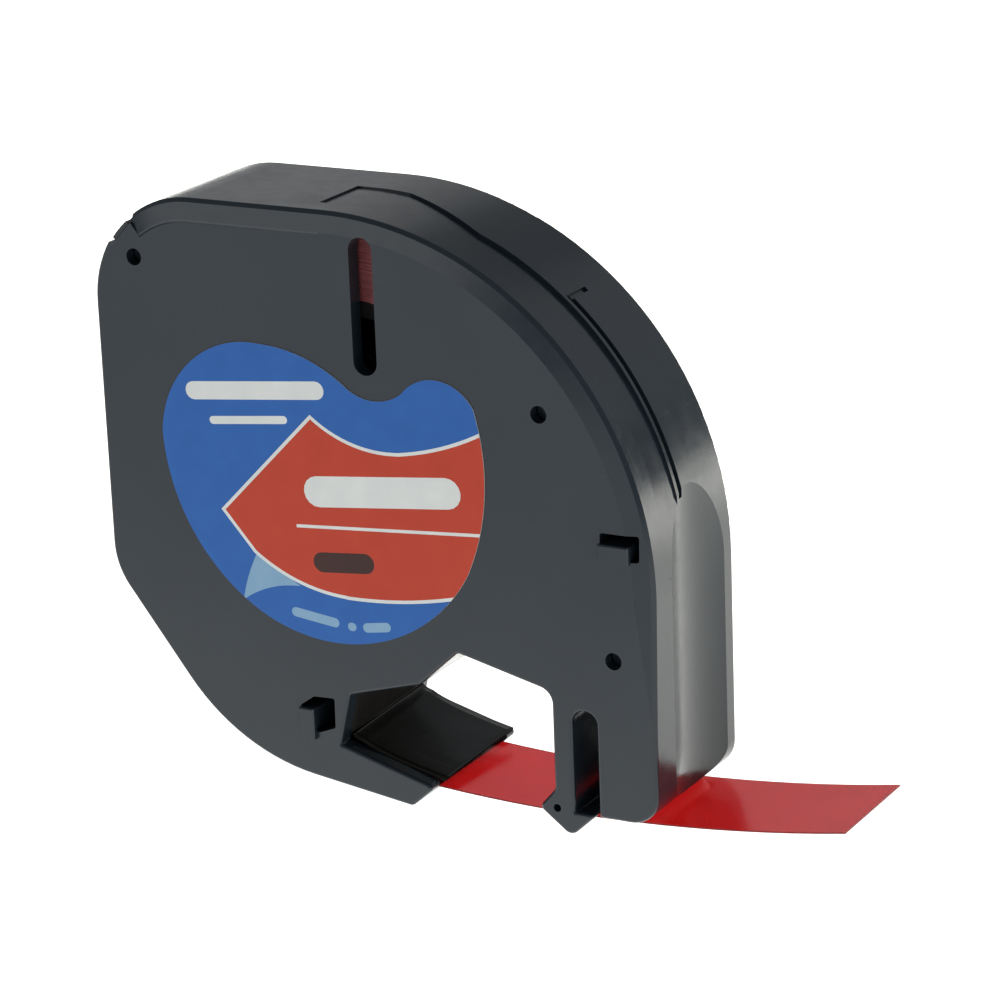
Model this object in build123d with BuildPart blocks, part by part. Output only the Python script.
"""Label tape cassette: a 12 mm tape roll in a two-part snap case, with its guides and brake.

Frame: +X right and +Z up as seen from the labelled front, +Y towards the rear.
The origin is on the spool axis, on the flat rear face.
Profiles are drawn on planes parallel to that face, and heights count forwards from it.
"""

import os
from math import cos, hypot, radians, sin, sqrt, tan

from build123d import *

# ---- case ----
case_depth = 16.0
skin = 1.6  # thickness of the front cover and of the rear plate
wall = 1.5
edge_radius = 0.35
case_left = -26.0
case_top = 19.9
corner_radius = 10.3  # top left corner
corner_at = (case_left + corner_radius, case_top - corner_radius)
shoulder_radius = 32.0  # big round shoulder at the top right
shoulder_at = (-1.8, case_top - shoulder_radius)
case_right = shoulder_at[0] + shoulder_radius
arm_bottom = -33.0
finger_left = 19.9
slot_left = 21.9  # cutter slot
slot_right = 24.3
slot_top = -23.2
pocket_low = (-2.2, -30.15)  # ends of the guide leaf's pocket wall
pocket_high = (-0.95, -25.15)
inside_front = case_depth - skin
inside_depth = case_depth - 2 * skin

# ---- tape ----
tape_width = 12.0
tape_thick = 0.14
tape_back = (case_depth - tape_width) / 2
layer_gap = 0.05  # air between neighbouring layers of loose tape
core_radius = 11.6
roll_radius = 17.8
curl_radius = 165.0  # natural curl of the free strand
curl_at = (18.5, 131.2)
strand_start = -3.3
strand_end = 47.2

# ---- spool bearing ----
boss_radius = 5.0
boss_height = 12.6
locating_bore_radius = 3.0
locating_bore_depth = 11.0
run_clearance = 0.06

# ---- rollers and their pins ----
corner_roller_at = (-12.6, -25.4)
corner_roller_radius = 2.4
exit_roller_radius = 1.4
exit_roller_x = 27.1
pin_radius = 0.75
exit_pin_radius = 0.5
pin_seat_height = 0.7  # bottom of the blind seats in the rear plate
pin_top = 14.3

# ---- brake ----
brake_pivot = (22.0, -5.8)
brake_back = 5.0
brake_width = 6.0
felt_angle = -36.0  # direction in which the brake bears on the roll
felt_thick = 1.2

# ---- guide leaf ----
leaf_thick = 0.25
crease = (-1.9, -29.55)
leaf_tip = (7.7, -32.35)
leaf_back = skin + run_clearance
leaf_width = inside_depth - 2 * run_clearance

# ---- case posts that plug into the front cover ----
posts = [(-21.5, 14.1), (19.6, 3.7), (26.2, -18.0)]
post_radius = 1.4
plug_radius = 0.7
plug_height = 0.35
plug_hole_radius = 0.8

# ---- openings of the front cover ----
window_at = (2.4, 11.65)
window_size = (12.5, 2.4)
drip_hole_at = (20.15, -32.7)
drip_hole_radius = 0.38
left_snap_opening = [
    (-6.25, -26.8),
    (-4.8, -25.8),
    (-2.6, -25.7),
    (-2.65, -28.6),
    (-4.3, -29.25),
    (-6.25, -29.25),
]
right_snap_opening = [(25.2, -6.3), (28.9, -6.3), (28.9, -8.7), (25.2, -8.7)]

# ---- snap hooks of the rear shell: centre and size of each stem and of the nose that caps it ----
hook_stems = [((-5.4, -28.0), (1.3, 2.0)), ((26.7, -7.95), (2.7, 1.2))]
hook_noses = [((-5.45, -28.4), (1.6, 3.0)), ((26.65, -8.05), (3.0, 1.65))]
nose_gap = 0.03  # between the cover's face and the noses
nose_thick = 0.5

# ---- corner clip: a tab of the rear shell between two nicks in the corner's edge ----
clip_angle = 136.7  # direction from the corner's centre to the tab
clip_width = 2.2
clip_depth = 0.7
clip_recess = 0.18
clip_gap = 0.1
clip_root = 9.0
nick_width = 0.85
nick_flare = 60.0  # slope of the nicks' outer sides

# ---- bevel along the top edge and down the round shoulder of the cover ----
bevel_width = 1.9
bevel_drop = 0.4
bevel_end_angle = 128.0  # in the top left corner, at the clip
bevel_fade = 14.0  # length over which it runs out at its lower end
bevel_edge = 0.35  # width of the 45 degree edge outside the bevel
bevel_groove_width = 0.3  # of the fine groove along its inner side, on the top and the corner
bevel_groove_depth = 0.07

# ---- channel and ridge on the outside of the shoulder, and the thumb scoop below them ----
channel_radius = 32.6
channel_at = (-2.4, -12.85)
channel_low = -11.0
channel_front = 12.8
channel_rear = 9.1
channel_start = -3.5
channel_corner = (2.0, 6.1)
channel_slant_end = 10.5
groove_depth = 0.5
groove_height = 7.95
groove_width = 0.7
groove_start = 50.0
groove_end = 13.0
notch_depth = 0.25
notch_height = 5.2
notch_angle = 0.9
scoop_radius = 13.7
scoop_depth = 1.04
scoop_height = 7.0


def level(height):
    """Drawing plane parallel to the rear face, this far in front of it."""
    return Plane.XZ.offset(height)


def outer_tangent(centre_a, radius_a, centre_b, radius_b):
    """Unit normal of the line that keeps two circles on its left, going from a to b."""
    run_x = centre_b[0] - centre_a[0]
    run_z = centre_b[1] - centre_a[1]
    span = hypot(run_x, run_z)
    along = (radius_a - radius_b) / span
    across = sqrt(1 - along**2)
    unit_x = run_x / span
    unit_z = run_z / span
    return (along * unit_x + across * unit_z, along * unit_z - across * unit_x)


def beyond(centre, normal, distance):
    """Point at a distance from a centre along a unit normal."""
    return (centre[0] + distance * normal[0], centre[1] + distance * normal[1])


def around(centre, radius, angle):
    """Point on a circle about a centre, angle in degrees."""
    return beyond(centre, (cos(radians(angle)), sin(radians(angle))), radius)


def on_curl(x, radius):
    """Point at this X on the lower side of a circle about the centre of the strand's curl."""
    return (x, curl_at[1] - sqrt(radius**2 - (x - curl_at[0]) ** 2))


clip_at = around(corner_at, corner_radius, clip_angle)
pocket_mouth = clip_width + 2 * nick_width + 2 * clip_depth / tan(radians(nick_flare))
exit_roller_at = (exit_roller_x, on_curl(exit_roller_x, curl_radius)[1] + layer_gap + exit_roller_radius)

os.makedirs("parts", exist_ok=True)

# ======== profiles shared by the shells ========
shoulder_low = (case_right, shoulder_at[1])
shoulder_high = (shoulder_at[0], case_top)

# corner points with their radii, from the right arm round to the top left
arm_corners = [((case_right, arm_bottom), 2.8), ((slot_right, arm_bottom), 0.3)]
finger_corners = [
    ((slot_right, slot_top), 1.15),
    ((slot_left, slot_top), 1.15),
    ((slot_left, -32.9), 0.2),
    ((24.0, -32.9), 0.15),
    ((21.4, -35.3), 0.9),
    ((18.25, -32.9), 0.5),
    ((finger_left, -31.0), 0.8),
    ((finger_left, -21.8), 1.5),
]
gap_corners = [((10.45, -19.5), 0.6), ((6.4, -23.1), 0.4), (pocket_high, 0.4)]
left_arm_corners = [(pocket_low, 0.3), ((7.6, -32.85), 0.4), ((5.1, -35.05), 0.6)]
body_corners = [((-13.4, -32.5), 20.0), ((case_left, -15.9), 7.0), ((case_left, case_top), corner_radius)]

with BuildSketch() as case_outline:
    corners = arm_corners + finger_corners + gap_corners + left_arm_corners + body_corners
    with BuildLine():
        FilletPolyline(
            shoulder_low,
            *[point for point, radius in corners],
            shoulder_high,
            radius=[radius for point, radius in corners],
        )
        RadiusArc(shoulder_high, shoulder_low, shoulder_radius)
    make_face()

with BuildSketch() as cavity:
    # the same body without the finger, the cutter slot and the open end of the left arm
    simple_finger = [((slot_right, slot_top), 0.3), ((finger_left, slot_top), 0.3)]
    arm_root = [(pocket_low, 0.3), ((-3.2, -33.9), 0)]
    corners = arm_corners + simple_finger + gap_corners + arm_root + body_corners
    with BuildLine():
        FilletPolyline(
            shoulder_low,
            *[point for point, radius in corners],
            shoulder_high,
            radius=[radius for point, radius in corners],
        )
        RadiusArc(shoulder_high, shoulder_low, shoulder_radius)
    make_face()
    offset(amount=-wall)

with BuildSketch() as tape_channel:
    # way out for the tape through the left arm, between the arm's floor and the crease
    way_start = strand_start - 1.5
    way_end = 8.6
    way_top = -29.9
    floor_radius = curl_radius + 0.25
    with BuildLine():
        floor = ThreePointArc(
            on_curl(way_start, floor_radius),
            on_curl(2.0, floor_radius),
            on_curl(way_end, floor_radius),
        )
        Polyline(floor @ 1, (way_end, -32.2), (-0.9, way_top), (way_start, way_top), floor @ 0)
    make_face()

with BuildSketch() as clip_pocket:
    with Locations(clip_at):
        Trapezoid(pocket_mouth, 2 * clip_depth, nick_flare, rotation=clip_angle + 90)

# ======== front cover: flat plate with the viewing window and the snap openings ========
with BuildPart() as front_cover:
    with BuildSketch(level(inside_front)):
        add(case_outline.sketch)
        with Locations(window_at):
            SlotOverall(*window_size, rotation=90, mode=Mode.SUBTRACT)
        with Locations(*posts):
            Circle(plug_hole_radius, mode=Mode.SUBTRACT)
        with Locations(drip_hole_at):
            Circle(drip_hole_radius, mode=Mode.SUBTRACT)
        for snap_corners in (left_snap_opening, right_snap_opening):
            with BuildLine():
                FilletPolyline(*snap_corners, radius=0.25, close=True)
            make_face(mode=Mode.SUBTRACT)
    extrude(amount=skin)
    fillet(faces().sort_by(Axis.Y)[0].outer_wire().edges(), edge_radius)
    # corner pocket for the rear shell's clip tab, with a flared nick on either side of it
    with BuildSketch(level(inside_front)):
        add(clip_pocket.sketch)
    extrude(amount=skin, mode=Mode.SUBTRACT)
    # the bevel follows the shoulder, the top and the corner, and fades out down the right side
    with BuildLine(level(case_depth)) as bevel_path:
        shoulder_line = RadiusArc(shoulder_low, shoulder_high, -shoulder_radius)
        top_line = Line(shoulder_line @ 1, (corner_at[0], case_top))
        RadiusArc(top_line @ 1, around(corner_at, corner_radius, bevel_end_angle), -corner_radius)
    overhang = 0.4  # how far the cutters reach past the cover
    bevel_inner = case_right - bevel_width
    bevel_outer = case_right - bevel_edge
    bevel_slope = bevel_drop / (bevel_outer - bevel_inner)
    cut_right = case_right + overhang
    cut_front = -case_depth - overhang
    with BuildSketch(Plane.XY.offset(shoulder_at[1])) as bevel_section:
        with BuildLine():
            Polyline(
                (bevel_inner, cut_front),
                (bevel_inner, -case_depth),
                (cut_right, -case_depth + bevel_slope * (cut_right - bevel_inner)),
                (cut_right, cut_front),
                close=True,
            )
        make_face()
    sweep(path=bevel_path.wires()[0], mode=Mode.SUBTRACT)
    with BuildSketch(Plane.XY.offset(shoulder_at[1])) as edge_section:
        with BuildLine():
            Polyline(
                (bevel_outer, cut_front),
                (bevel_outer, -case_depth + bevel_drop),
                (cut_right, -case_depth + bevel_drop + cut_right - bevel_outer),
                (cut_right, cut_front),
                close=True,
            )
        make_face()
    sweep(path=bevel_path.wires()[0], mode=Mode.SUBTRACT)
    # below the shoulder the bevel slides off the side, and its edge rises to the face with it
    slide = Vector(bevel_width, 0, -bevel_fade)
    extrude(bevel_section.sketch, amount=slide.length, dir=slide.normalized(), mode=Mode.SUBTRACT)
    rise_per_length = bevel_slope * bevel_width / bevel_fade
    rise_length = (bevel_drop + bevel_edge) / rise_per_length
    rise = Vector(0, -bevel_drop - bevel_edge, -rise_length)
    extrude(edge_section.sketch, amount=rise.length, dir=rise.normalized(), mode=Mode.SUBTRACT)
    # on the top and the corner a fine groove marks the bevel's inner side
    with BuildLine(level(case_depth)) as groove_path:
        groove_line = Line(shoulder_high, (corner_at[0], case_top))
        RadiusArc(groove_line @ 1, around(corner_at, corner_radius, bevel_end_angle), -corner_radius)
    groove_outer = case_top - bevel_width
    groove_inner = groove_outer - bevel_groove_width
    with BuildSketch(Plane.YZ.offset(shoulder_high[0])):
        with BuildLine():
            Polyline(
                (-case_depth - overhang, groove_outer),
                (-case_depth, groove_outer),
                (-case_depth + bevel_groove_depth, (groove_outer + groove_inner) / 2),
                (-case_depth, groove_inner),
                (-case_depth - overhang, groove_inner),
                close=True,
            )
        make_face()
    sweep(path=groove_path.wires()[0], mode=Mode.SUBTRACT)
front_cover.part.label = "front_cover"
export_step(front_cover.part, "parts/front_cover.step")

# ======== cutters for the rear shell's outer wall ========
with BuildPart() as finger_channel:
    with BuildSketch(level(channel_corner[1] - 1)):
        with Locations(shoulder_at):
            Circle(shoulder_radius + 2)
        with Locations(channel_at):
            Circle(channel_radius, mode=Mode.SUBTRACT)
    extrude(amount=channel_front)
    # seen from above, the channel starts wide at a step and narrows along a slanted ridge
    with BuildSketch(Plane.XY.offset(channel_low)):
        with BuildLine():
            Polyline(
                (channel_start, -channel_front),
                (channel_start, -channel_corner[1]),
                (channel_corner[0], -channel_corner[1]),
                (channel_slant_end, -channel_rear),
                (case_right + 1, -channel_rear),
                (case_right + 1, -channel_front),
                close=True,
            )
        make_face()
    extrude(amount=2 * shoulder_radius, mode=Mode.INTERSECT)

with BuildPart() as ridge_groove:
    # the groove behind the ridge, and a short notch across its upper end
    for height, width, depth, first, last in [
        (groove_height, groove_width, groove_depth, groove_end, groove_start),
        (notch_height, groove_height - notch_height, notch_depth, groove_start - notch_angle, groove_start),
    ]:
        with BuildSketch(level(height)):
            with BuildLine():
                inner = CenterArc(shoulder_at, shoulder_radius - depth, first, last - first)
                outer = CenterArc(shoulder_at, shoulder_radius + 2, first, last - first)
                Line(inner @ 0, outer @ 0)
                Line(inner @ 1, outer @ 1)
            make_face()
        extrude(amount=width)

# the thumb scoop is one cylinder face, so it runs out in an arch where the shoulder curves away
with BuildPart() as thumb_scoop:
    with BuildSketch(Plane.XY.offset(arm_bottom - 1)):
        with Locations((case_right + scoop_radius - scoop_depth, -scoop_height)):
            Circle(scoop_radius)
    extrude(amount=-arm_bottom)

# ======== rear shell: plate, perimeter wall, spool boss, posts and snap hooks ========
finger_bay_at = (17.0, -36.3)
finger_bay_size = (16.8, 6.0)
exit_bay_at = (exit_roller_x, -32.0)
exit_bay_size = (2 * exit_roller_radius + 0.5, 4.0)
with BuildPart() as rear_shell:
    with BuildSketch(level(0)):
        add(case_outline.sketch)
    extrude(amount=inside_front)
    fillet(faces().sort_by(Axis.Y)[-1].outer_wire().edges(), edge_radius)
    with BuildSketch(level(skin)):
        add(cavity.sketch)
    extrude(amount=inside_depth, mode=Mode.SUBTRACT)
    # between the plates the tape runs through the left arm, and below the finger and right arm
    with BuildSketch(level(skin)):
        add(tape_channel.sketch)
        for bay_at, bay_size in ((finger_bay_at, finger_bay_size), (exit_bay_at, exit_bay_size)):
            with Locations(bay_at):
                Rectangle(*bay_size)
    extrude(amount=inside_depth, mode=Mode.SUBTRACT)

    with BuildSketch(level(skin)):
        Circle(boss_radius)
    extrude(amount=boss_height - skin)
    with BuildSketch(level(0)):
        Circle(locating_bore_radius)
    extrude(amount=locating_bore_depth, mode=Mode.SUBTRACT)

    with BuildSketch(level(skin)):
        with Locations(*posts):
            Circle(post_radius)
    extrude(amount=inside_depth)
    with BuildSketch(level(inside_front)):
        with Locations(*posts):
            Circle(plug_radius)
    extrude(amount=plug_height)
    # snap hooks: stems through the cover's openings, each with a nose over the opening's edge
    with BuildSketch(level(skin)):
        for stem_at, stem_size in hook_stems:
            with Locations(stem_at):
                Rectangle(*stem_size)
    extrude(amount=case_depth + nose_gap - skin)
    with BuildSketch(level(case_depth + nose_gap)):
        for nose_at, nose_size in hook_noses:
            with Locations(nose_at):
                Rectangle(*nose_size)
    extrude(amount=nose_thick)
    chamfer(faces().sort_by(Axis.Y)[:2].edges(), 0.12)
    # corner clip: nicks in the wall free a tab that reaches up into the cover's pocket
    with BuildSketch(level(clip_root)):
        add(clip_pocket.sketch)
        with Locations(clip_at):
            Rectangle(2 * clip_depth, clip_width, rotation=clip_angle, mode=Mode.SUBTRACT)
    extrude(amount=inside_front - clip_root, mode=Mode.SUBTRACT)
    with BuildSketch(level(inside_front)):
        with Locations(clip_at):
            Rectangle(2 * (clip_depth - clip_gap), clip_width, rotation=clip_angle)
        with Locations(corner_at):
            Circle(corner_radius - clip_recess, mode=Mode.INTERSECT)
    extrude(amount=skin - clip_recess)
    # blind seats for the roller and brake pins
    with BuildSketch(level(pin_seat_height)):
        with Locations(corner_roller_at, brake_pivot):
            Circle(pin_radius)
        with Locations(exit_roller_at):
            Circle(exit_pin_radius)
    extrude(amount=skin - pin_seat_height, mode=Mode.SUBTRACT)

    add(finger_channel.part, mode=Mode.SUBTRACT)
    add(ridge_groove.part, mode=Mode.SUBTRACT)
    add(thumb_scoop.part, mode=Mode.SUBTRACT)
rear_shell.part.label = "rear_shell"
export_step(rear_shell.part, "parts/rear_shell.step")

# ======== spool: ribbed core, tape clip and wound tape ========
clip_slot_angle = 205.0
clip_slot_at = around((0, 0), core_radius - 0.4, clip_slot_angle)
core_rim = 1.4
hub_rim = 1.3
web_height = tape_back + 3.0
web_thick = 1.2
rib_at_radius = 8.3
rib_size = (4.4, 1.0)
rib_height = 5.5
with BuildPart() as spool_hub:
    with BuildSketch(level(tape_back)):
        Circle(core_radius)
        Circle(core_radius - core_rim, mode=Mode.SUBTRACT)
    extrude(amount=tape_width)
    with BuildSketch(level(tape_back)):
        Circle(boss_radius + run_clearance + hub_rim)
        Circle(boss_radius + run_clearance, mode=Mode.SUBTRACT)
    extrude(amount=boss_height - tape_back)
    with BuildSketch(level(web_height)):
        Circle(core_radius - core_rim / 2)
        Circle(boss_radius + run_clearance + hub_rim / 2, mode=Mode.SUBTRACT)
    extrude(amount=web_thick)
    with BuildSketch(level(web_height)):
        with PolarLocations(rib_at_radius, 6):
            Rectangle(*rib_size)
    extrude(amount=rib_height)
    # dovetail in the rim that takes the tape clip
    with BuildSketch(level(tape_back)):
        with Locations(clip_slot_at):
            Trapezoid(2.6, 1.0, 75, rotation=clip_slot_angle + 90)
    extrude(amount=tape_width, mode=Mode.SUBTRACT)
spool_hub.part.label = "spool_hub"
export_step(spool_hub.part, "parts/spool_hub.step")

with BuildPart() as tape_clip:
    with BuildSketch(level(tape_back + 0.3)):
        with Locations(clip_slot_at):
            Trapezoid(2.5, 0.9, 75, rotation=clip_slot_angle + 90)
        Circle(core_radius - 0.02, mode=Mode.INTERSECT)
    extrude(amount=tape_width - 0.6)
tape_clip.part.label = "tape_clip"
export_step(tape_clip.part, "parts/tape_clip.step")

with BuildPart() as wound_tape:
    with BuildSketch(level(tape_back)):
        Circle(roll_radius)
        Circle(core_radius, mode=Mode.SUBTRACT)
    extrude(amount=tape_width)
wound_tape.part.label = "wound_tape"
export_step(wound_tape.part, "parts/wound_tape.step")

# ======== slip disc: thin film between the roll and the rear plate ========
slip_disc_thick = 0.15
slip_disc_margin = 0.3  # to the roll's rim outside and to the boss inside
with BuildPart() as rear_slip_disc:
    with BuildSketch(level(skin + layer_gap)):
        Circle(roll_radius - slip_disc_margin)
        Circle(boss_radius + slip_disc_margin, mode=Mode.SUBTRACT)
    extrude(amount=slip_disc_thick)
rear_slip_disc.part.label = "rear_slip_disc"
export_step(rear_slip_disc.part, "parts/rear_slip_disc.step")

# ======== tape inside the case: off the roll, round the corner roller and along the arm ========
roll_line = roll_radius + layer_gap
roller_line = corner_roller_radius + layer_gap
inner_line = curl_radius - tape_thick - layer_gap  # lies just above the free strand
settle_radius = 12.0
inner_end = 4.4
with BuildPart() as tape_inner_run:
    with BuildSketch(level(tape_back)):
        with BuildLine():
            leave = outer_tangent((0, 0), roll_line, corner_roller_at, roller_line)
            joint_at = on_curl(strand_start, inner_line)
            towards_centre = (
                (curl_at[0] - joint_at[0]) / inner_line,
                (curl_at[1] - joint_at[1]) / inner_line,
            )
            settle_at = beyond(joint_at, towards_centre, settle_radius)
            settle = outer_tangent(corner_roller_at, roller_line, settle_at, settle_radius)
            Line(beyond((0, 0), leave, roll_line), beyond(corner_roller_at, leave, roller_line))
            RadiusArc(
                beyond(corner_roller_at, leave, roller_line),
                beyond(corner_roller_at, settle, roller_line),
                -roller_line,
            )
            Line(
                beyond(corner_roller_at, settle, roller_line),
                beyond(settle_at, settle, settle_radius),
            )
            RadiusArc(beyond(settle_at, settle, settle_radius), joint_at, -settle_radius)
            RadiusArc(joint_at, on_curl(inner_end, inner_line), -inner_line)
            offset(amount=tape_thick, side=Side.RIGHT)
        make_face()
    extrude(amount=tape_width)
tape_inner_run.part.label = "tape_inner_run"
export_step(tape_inner_run.part, "parts/tape_inner_run.step")

# ======== free strand: across the print head gap, past the cutter slot and out ========
outer_radius = curl_radius + tape_thick
with BuildPart() as tape_lead:
    with BuildSketch(level(tape_back)):
        with BuildLine():
            upper = RadiusArc(on_curl(strand_start, curl_radius), on_curl(strand_end, curl_radius), -curl_radius)
            lower = RadiusArc(on_curl(strand_start, outer_radius), on_curl(strand_end, outer_radius), -outer_radius)
            Line(upper @ 0, lower @ 0)
            Line(upper @ 1, lower @ 1)
        make_face()
    extrude(amount=tape_width)
tape_lead.part.label = "tape_lead"
export_step(tape_lead.part, "parts/tape_lead.step")

# ======== guide rollers and their pins ========
for name, at, radius, bore in [
    ("corner_roller", corner_roller_at, corner_roller_radius, pin_radius),
    ("exit_roller", exit_roller_at, exit_roller_radius, exit_pin_radius),
]:
    with BuildPart() as guide_roller:
        with BuildSketch(level(tape_back)):
            with Locations(at):
                Circle(radius)
                Circle(bore + run_clearance, mode=Mode.SUBTRACT)
        extrude(amount=tape_width)
        rims = edges().filter_by(GeomType.CIRCLE).filter_by(lambda rim: rim.radius > bore + 0.3)
        chamfer(rims, 0.2)
    guide_roller.part.label = name
    export_step(guide_roller.part, f"parts/{name}.step")

for name, at, radius in [
    ("corner_roller_pin", corner_roller_at, pin_radius),
    ("exit_roller_pin", exit_roller_at, exit_pin_radius),
    ("brake_pin", brake_pivot, pin_radius),
]:
    with BuildPart() as steel_pin:
        with BuildSketch(level(pin_seat_height)):
            with Locations(at):
                Circle(radius)
        extrude(amount=pin_top - pin_seat_height)
        chamfer(faces().sort_by(Axis.Y)[0].edges(), 0.15)
    steel_pin.part.label = name
    export_step(steel_pin.part, f"parts/{name}.step")

# ======== roll brake: a swinging arm that holds a felt pad against the wound tape ========
felt_inner = roll_radius + 0.12
felt_outer = felt_inner + felt_thick
felt_half_angle = 6.0
seat_inner = felt_outer + 0.02
seat_thick = 1.2
seat_half_angle = 8.0
pivot_eye_radius = 1.8
arm_end_radius = 0.7
arm_end_at = around((0, 0), seat_inner + seat_thick / 2, felt_angle + 5)
with BuildPart() as brake_arm:
    with BuildSketch(level(brake_back)):
        with Locations(brake_pivot):
            Circle(pivot_eye_radius)
        with Locations(arm_end_at):
            Circle(arm_end_radius)
        make_hull()
        with BuildLine():
            inner_face = CenterArc((0, 0), seat_inner, felt_angle - seat_half_angle, 2 * seat_half_angle)
            outer_face = CenterArc(
                (0, 0), seat_inner + seat_thick, felt_angle - seat_half_angle, 2 * seat_half_angle
            )
            Line(inner_face @ 0, outer_face @ 0)
            Line(inner_face @ 1, outer_face @ 1)
        make_face()
        Circle(seat_inner, mode=Mode.SUBTRACT)
        with Locations(brake_pivot):
            Circle(pin_radius + run_clearance, mode=Mode.SUBTRACT)
    extrude(amount=brake_width)
brake_arm.part.label = "brake_arm"
export_step(brake_arm.part, "parts/brake_arm.step")

felt_inset = 0.3
with BuildPart() as brake_felt:
    with BuildSketch(level(brake_back + felt_inset)):
        with BuildLine():
            inner_face = CenterArc((0, 0), felt_inner, felt_angle - felt_half_angle, 2 * felt_half_angle)
            outer_face = CenterArc((0, 0), felt_outer, felt_angle - felt_half_angle, 2 * felt_half_angle)
            Line(inner_face @ 0, outer_face @ 0)
            Line(inner_face @ 1, outer_face @ 1)
        make_face()
    extrude(amount=brake_width - 2 * felt_inset)
brake_felt.part.label = "brake_felt"
export_step(brake_felt.part, "parts/brake_felt.step")

# ======== guide leaf: a creased film strip that keeps the tape down at the print head gap ========
with BuildPart() as guide_leaf:
    with BuildSketch(level(leaf_back)):
        with BuildLine():
            Line(crease, leaf_tip)
            offset(amount=leaf_thick / 2, side=Side.BOTH)
        make_face()
    extrude(amount=leaf_width)
guide_leaf.part.label = "guide_leaf"
export_step(guide_leaf.part, "parts/guide_leaf.step")

# the fixed leg of the strip is glued to the end wall of the pocket, from the crease upwards
pocket_run = (pocket_high[0] - pocket_low[0], pocket_high[1] - pocket_low[1])
pocket_length = hypot(*pocket_run)
up_wall = (pocket_run[0] / pocket_length, pocket_run[1] / pocket_length)
off_wall = (up_wall[1], -up_wall[0])
leg_foot = beyond(pocket_low, off_wall, leaf_thick / 2)
leg_start = 0.98
leg_end = 4.85
with BuildPart() as leaf_root:
    with BuildSketch(level(leaf_back)):
        with BuildLine():
            Line(beyond(leg_foot, up_wall, leg_start), beyond(leg_foot, up_wall, leg_end))
            offset(amount=leaf_thick / 2, side=Side.BOTH)
        make_face()
    extrude(amount=leaf_width)
leaf_root.part.label = "leaf_root"
export_step(leaf_root.part, "parts/leaf_root.step")

# ======== face label: one thin printed sheet with a two-humped outline ========
label_thick = 0.1
with BuildPart() as face_label:
    with BuildSketch(level(case_depth)):
        with BuildLine():
            left_hump = ThreePointArc((-19.5, -2.0), (-16.0, 4.9), (-8.5, 7.25))
            left_fall = ThreePointArc(left_hump @ 1, (-4.0, 6.45), (0.3, 4.1))
            saddle = ThreePointArc(left_fall @ 1, (3.2, 3.15), (6.0, 4.15))
            right_hump = ThreePointArc(saddle @ 1, (10.2, 5.65), (13.2, 3.4))
            right_side = ThreePointArc(right_hump @ 1, (14.0, -4.2), (11.9, -12.1))
            belly = ThreePointArc(right_side @ 1, (-0.5, -20.1), (-12.5, -16.4))
            ThreePointArc(belly @ 1, (-18.0, -9.0), left_hump @ 0)
        make_face()
        fillet(vertices(), 1.0)
    extrude(amount=label_thick)
face_label.part.label = "face_label"
export_step(face_label.part, "parts/face_label.step")
